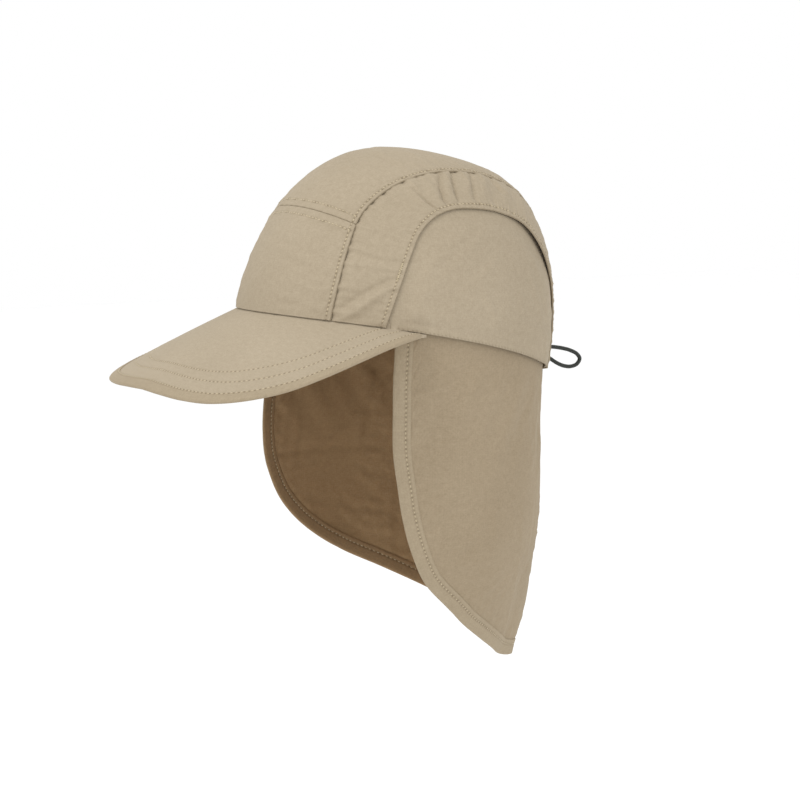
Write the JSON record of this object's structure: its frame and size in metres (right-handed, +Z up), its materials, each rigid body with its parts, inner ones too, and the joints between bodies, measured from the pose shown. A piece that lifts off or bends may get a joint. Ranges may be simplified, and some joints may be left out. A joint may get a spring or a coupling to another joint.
{
  "type": "sun cap with neck flap",
  "caption": "Five-panel cap with a curved stiff brim, a bound neck flap hanging from inside the rim and a short draw cord loop at the back.",
  "frame": {"origin": "middle of the head opening, level with the middle of the rim's height, where a head carries the cap", "axes": "+Z up as worn, -Y towards the front and the brim, +X towards the wearer's left"},
  "size_m": [0.19, 0.3109, 0.3193],
  "materials": {
    "crown_cloth": "woven nylon, khaki, dull",
    "brim_cloth": "woven nylon over a stiff sheet, khaki, dull",
    "flap_cloth": "thin woven nylon, khaki, dull",
    "binding_tape": "folded woven tape, khaki, dull",
    "cord_cover": "braided cord, very dark green, satin",
    "stop_plastic": "moulded, black, satin"
  },
  "bodies": {
    "root": {"front_panel": "crown_cloth", "top_panel": "crown_cloth", "side_band_left": "crown_cloth", "side_band_right": "crown_cloth", "side_panel_left": "crown_cloth", "side_panel_right": "crown_cloth", "brim": "brim_cloth", "brim_binding": "binding_tape", "neck_flap": "flap_cloth", "flap_binding": "binding_tape", "cord_stop": "stop_plastic", "cord_loop": "cord_cover"}
  },
  "joints": []
}
